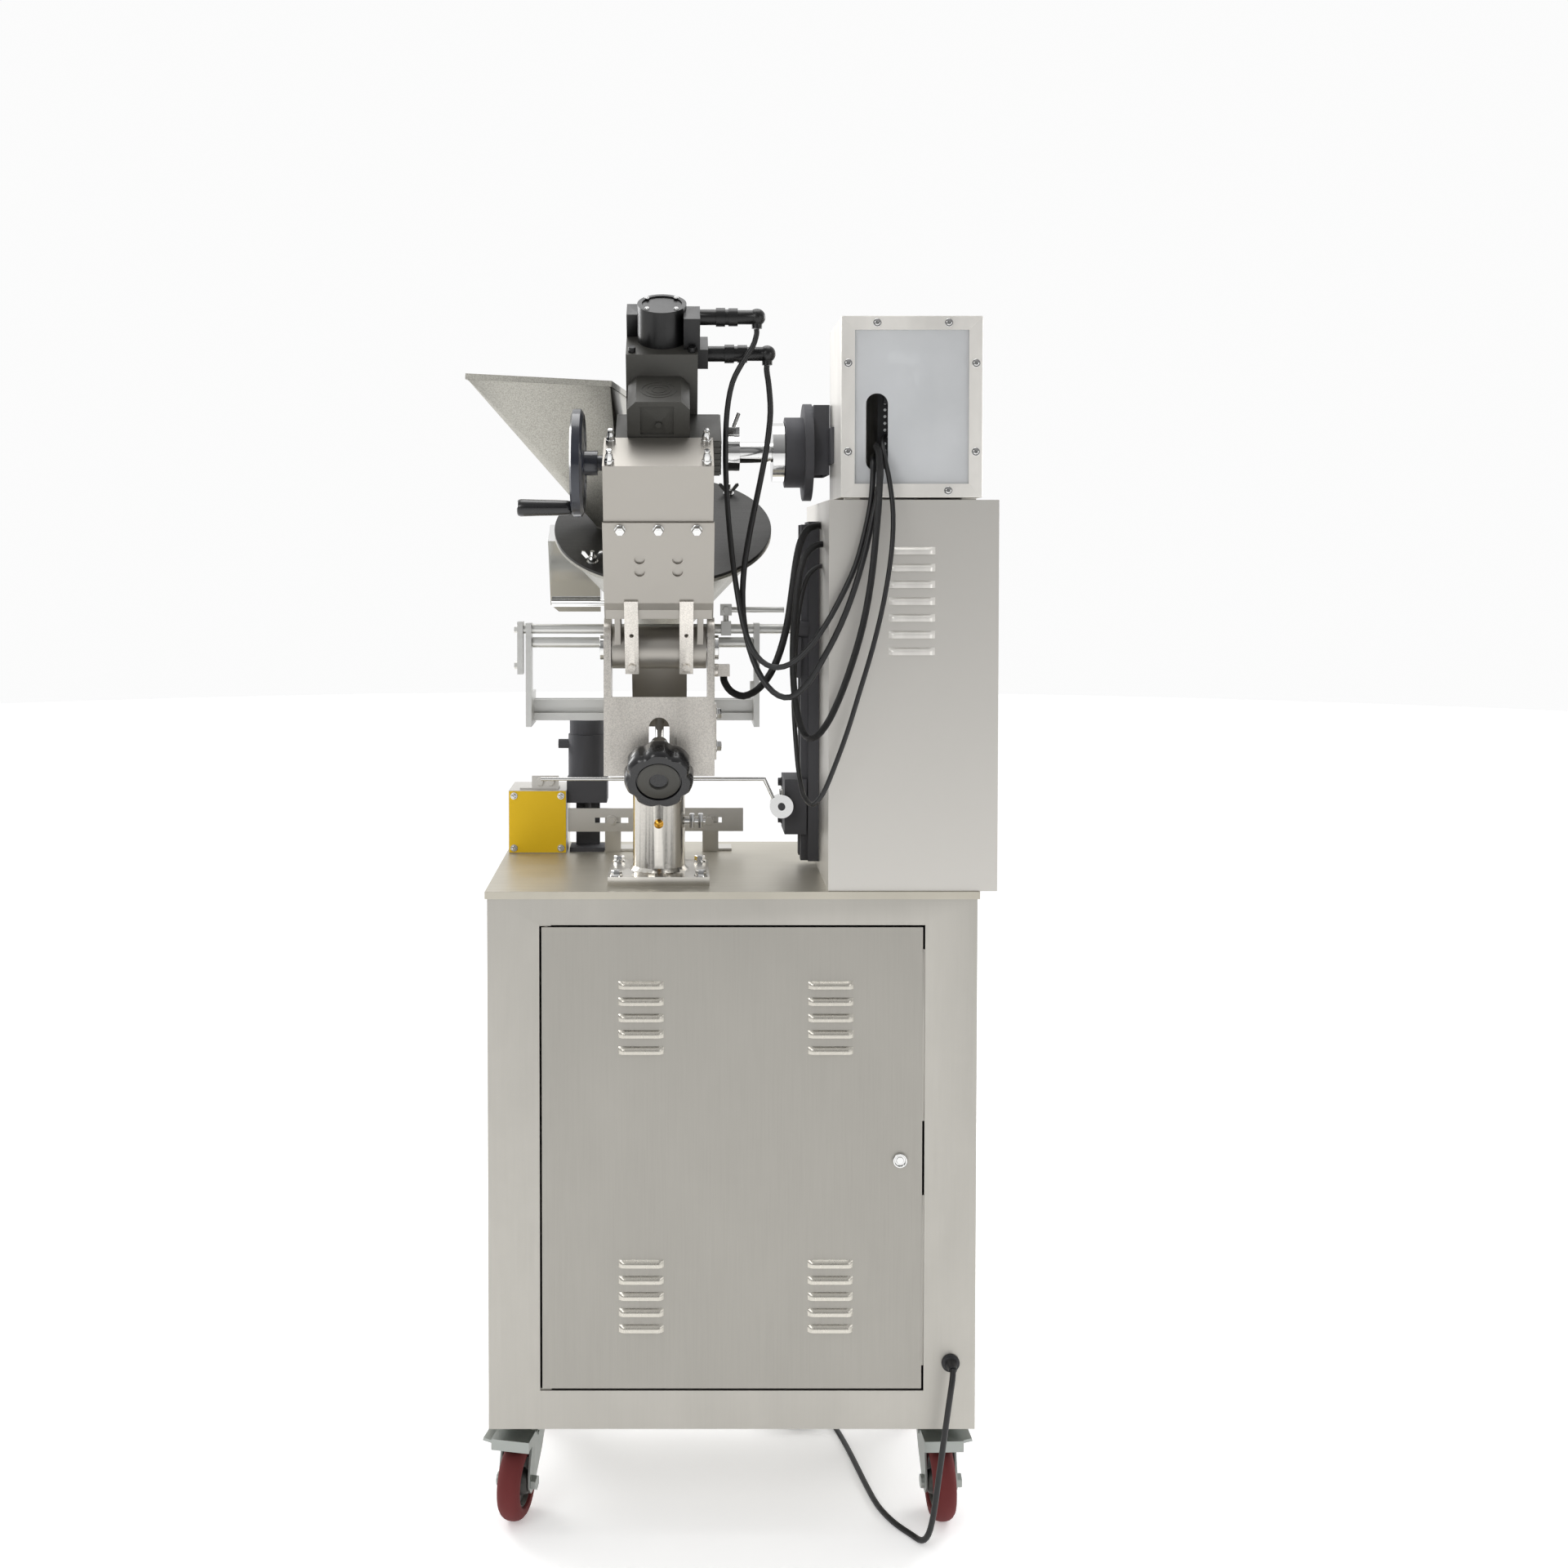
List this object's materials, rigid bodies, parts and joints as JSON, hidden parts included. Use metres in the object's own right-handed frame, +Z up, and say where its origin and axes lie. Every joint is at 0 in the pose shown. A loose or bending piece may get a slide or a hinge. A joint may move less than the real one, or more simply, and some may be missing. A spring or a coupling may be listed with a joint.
{
  "type": "capsule filler",
  "caption": "Wheeled stainless cabinet with a tilting auger powder-filling head, wedge hopper, hand crank, film reel shaft and control box.",
  "frame": {"origin": "On the floor under the centre of the machine's overall box.", "axes": "+Z up. -Y is the service side that the picture shows, with the base door, the tilt knob and the control box's window. +X is to the right as seen from that side."},
  "size_m": [0.7178, 0.5108, 1.6682],
  "materials": {
    "frame_steel": "satin_brushed",
    "bright_sheet": "fine_brushed",
    "head_steel": "satin",
    "polished_steel": "polished",
    "zinc_plate": "dull_zinc",
    "dark_steel": "dark_satin",
    "aluminium_parts": "matte_anodised",
    "gear_grey": "hammered_paint",
    "black_paint": "satin_paint",
    "blue_black_enamel": "gloss_enamel",
    "yellow_paint": "satin_paint",
    "black_plastic": "moulded",
    "black_rubber": "smooth_sheath",
    "maroon_tyre": "moulded",
    "clear_acrylic": "clear_milky"
  },
  "bodies": {
    "cabinet": {"base_cabinet": "frame_steel", "table_top": "frame_steel", "electrical_panel": "zinc_plate", "caster_mounts": "zinc_plate", "mains_gland": "black_plastic", "mains_lead": "black_rubber", "lead_coil": "black_rubber", "mains_plug": "black_plastic", "upper_cabinet": "bright_sheet", "control_box": "bright_sheet", "window_panel": "clear_acrylic", "frame_fasteners": "polished_steel", "servo_drive": "black_plastic", "column": "frame_steel", "tilt_bracket": "frame_steel", "pivot_pin": "polished_steel", "reel_bracket": "frame_steel", "guide_frame": "aluminium_parts", "cross_clamp": "aluminium_parts", "guide_rails": "dark_steel", "switch_box": "yellow_paint", "bag_guides": "bright_sheet", "feed_motor": "dark_steel", "motor_cable": "black_rubber", "encoder_cable": "black_rubber", "head_conduit": "black_rubber", "drive_cable": "black_rubber", "sensor_cable": "black_rubber"},
    "door": {"base_door": "frame_steel"},
    "door_cam": {"door_lock": "polished_steel"},
    "side_panel": {"side_door": "bright_sheet"},
    "side_cam": {"side_lock": "polished_steel"},
    "left_swivel": {"left_fork": "zinc_plate"},
    "right_swivel": {"right_fork": "zinc_plate"},
    "left_wheel": {"front_left_wheel": "maroon_tyre"},
    "right_wheel": {"front_right_wheel": "maroon_tyre"},
    "far_left_wheel": {"rear_left_wheel": "maroon_tyre"},
    "far_right_wheel": {"rear_right_wheel": "maroon_tyre"},
    "left_brake": {"left_pedal": "zinc_plate"},
    "right_brake": {"right_pedal": "zinc_plate"},
    "head": {"head_frame": "head_steel", "head_cover": "head_steel", "head_fasteners": "polished_steel", "head_straps": "bright_sheet", "gearbox": "gear_grey", "servo_motor": "black_paint", "powder_funnel": "bright_sheet", "funnel_lid": "head_steel", "wedge_hopper": "bright_sheet", "level_box": "polished_steel"},
    "crank": {"crank_wheel": "blue_black_enamel"},
    "crank_grip": {"crank_handle": "black_plastic"},
    "screw": {"auger": "polished_steel", "agitator": "polished_steel"},
    "lay_shaft": {"cross_shaft": "dark_steel"},
    "knob": {"tilt_knob": "black_plastic"},
    "reel": {"reel_shaft": "aluminium_parts"},
    "roller": {"guide_roller": "aluminium_parts"},
    "slide": {"slide_block": "dark_steel"},
    "detector": {"detector_arm": "polished_steel"}
  },
  "joints": [
    {"name": "head_tilt", "type": "hinge", "parent": "cabinet", "child": "head", "pos_m": [-0.0975, -0.048, 1.188], "axis": [1, 0, 0], "range_deg": [-30, 2], "deforming": ["motor_cable", "encoder_cable"]},
    {"name": "base_door_hinge", "type": "hinge", "parent": "cabinet", "child": "door", "pos_m": [-0.247, -0.142, 0.512], "axis": [0, 0, -1], "range_deg": [0, 110]},
    {"name": "door_lock_turn", "type": "hinge", "parent": "door", "child": "door_cam", "pos_m": [0.2235, -0.148, 0.51], "axis": [0, -1, 0], "range_deg": [0, 90]},
    {"name": "side_door_hinge", "type": "hinge", "parent": "cabinet", "child": "side_panel", "pos_m": [0.345, 0.21, 1.129], "axis": [0, 0, 1], "range_deg": [0, 110]},
    {"name": "side_lock_turn", "type": "hinge", "parent": "side_panel", "child": "side_cam", "pos_m": [0.351, -0.092, 1.133], "axis": [1, 0, 0], "range_deg": [-90, 0]},
    {"name": "left_caster_swivel", "type": "hinge", "parent": "cabinet", "child": "left_swivel", "pos_m": [-0.285, -0.063, 0.12], "axis": [0, 0, 1], "continuous": true},
    {"name": "right_caster_swivel", "type": "hinge", "parent": "cabinet", "child": "right_swivel", "pos_m": [0.285, -0.063, 0.12], "axis": [0, 0, 1], "continuous": true},
    {"name": "front_left_spin", "type": "hinge", "parent": "left_swivel", "child": "left_wheel", "pos_m": [-0.29228, -0.09724, 0.05], "axis": [0.9781, -0.2079, 0], "continuous": true},
    {"name": "front_right_spin", "type": "hinge", "parent": "right_swivel", "child": "right_wheel", "pos_m": [0.28622, -0.09798, 0.05], "axis": [0.9994, 0.0349, 0], "continuous": true},
    {"name": "rear_left_spin", "type": "hinge", "parent": "cabinet", "child": "far_left_wheel", "pos_m": [-0.285, 0.196, 0.05], "axis": [1, 0, 0], "continuous": true},
    {"name": "rear_right_spin", "type": "hinge", "parent": "cabinet", "child": "far_right_wheel", "pos_m": [0.285, 0.196, 0.05], "axis": [1, 0, 0], "continuous": true},
    {"name": "left_pedal_press", "type": "hinge", "parent": "left_swivel", "child": "left_brake", "pos_m": [-0.28916, -0.08256, 0.112], "axis": [0.9781, -0.2079, 0], "range_deg": [0, 15]},
    {"name": "right_pedal_press", "type": "hinge", "parent": "right_swivel", "child": "right_brake", "pos_m": [0.2857, -0.08299, 0.112], "axis": [0.9994, 0.0349, 0], "range_deg": [0, 15]},
    {"name": "crank_turn", "type": "hinge", "parent": "head", "child": "crank", "pos_m": [-0.169, -0.17884, 1.43462], "axis": [1, 0, 0], "continuous": true},
    {"name": "handle_spin", "type": "hinge", "parent": "crank", "child": "crank_grip", "pos_m": [-0.2445, -0.17884, 1.37662], "axis": [1, 0, 0], "continuous": true},
    {"name": "cross_turn", "type": "hinge", "parent": "head", "child": "lay_shaft", "pos_m": [-0.0935, -0.10263, 1.47862], "axis": [0, 0.866, 0.5], "continuous": true},
    {"name": "auger_turn", "type": "hinge", "parent": "head", "child": "screw", "pos_m": [-0.0935, 0.06308, 1.3676], "axis": [0, -0.5, 0.866], "continuous": true},
    {"name": "tilt_knob_spin", "type": "hinge", "parent": "head", "child": "knob", "pos_m": [-0.0975, -0.04746, 1.06707], "axis": [0, -0.866, -0.5], "continuous": true},
    {"name": "reel_spin", "type": "hinge", "parent": "cabinet", "child": "reel", "pos_m": [0.06, 0.052, 1.461], "axis": [1, 0, 0], "continuous": true},
    {"name": "roller_spin", "type": "hinge", "parent": "cabinet", "child": "roller", "pos_m": [-0.1215, 0.017, 1.1916], "axis": [1, 0, 0], "continuous": true},
    {"name": "detector_slide", "type": "slide", "parent": "cabinet", "child": "slide", "axis": [0, 0, 1], "range_m": [-0.025, 0.04]},
    {"name": "detector_swing", "type": "hinge", "parent": "slide", "child": "detector", "pos_m": [0.0736, 0, 0.962], "axis": [0, 1, 0], "range_deg": [-8, 8]}
  ],
  "couplings": [
    {"joint": "cross_turn", "follows": "crank_turn", "ratio": 1},
    {"joint": "auger_turn", "follows": "crank_turn", "ratio": -1}
  ]
}
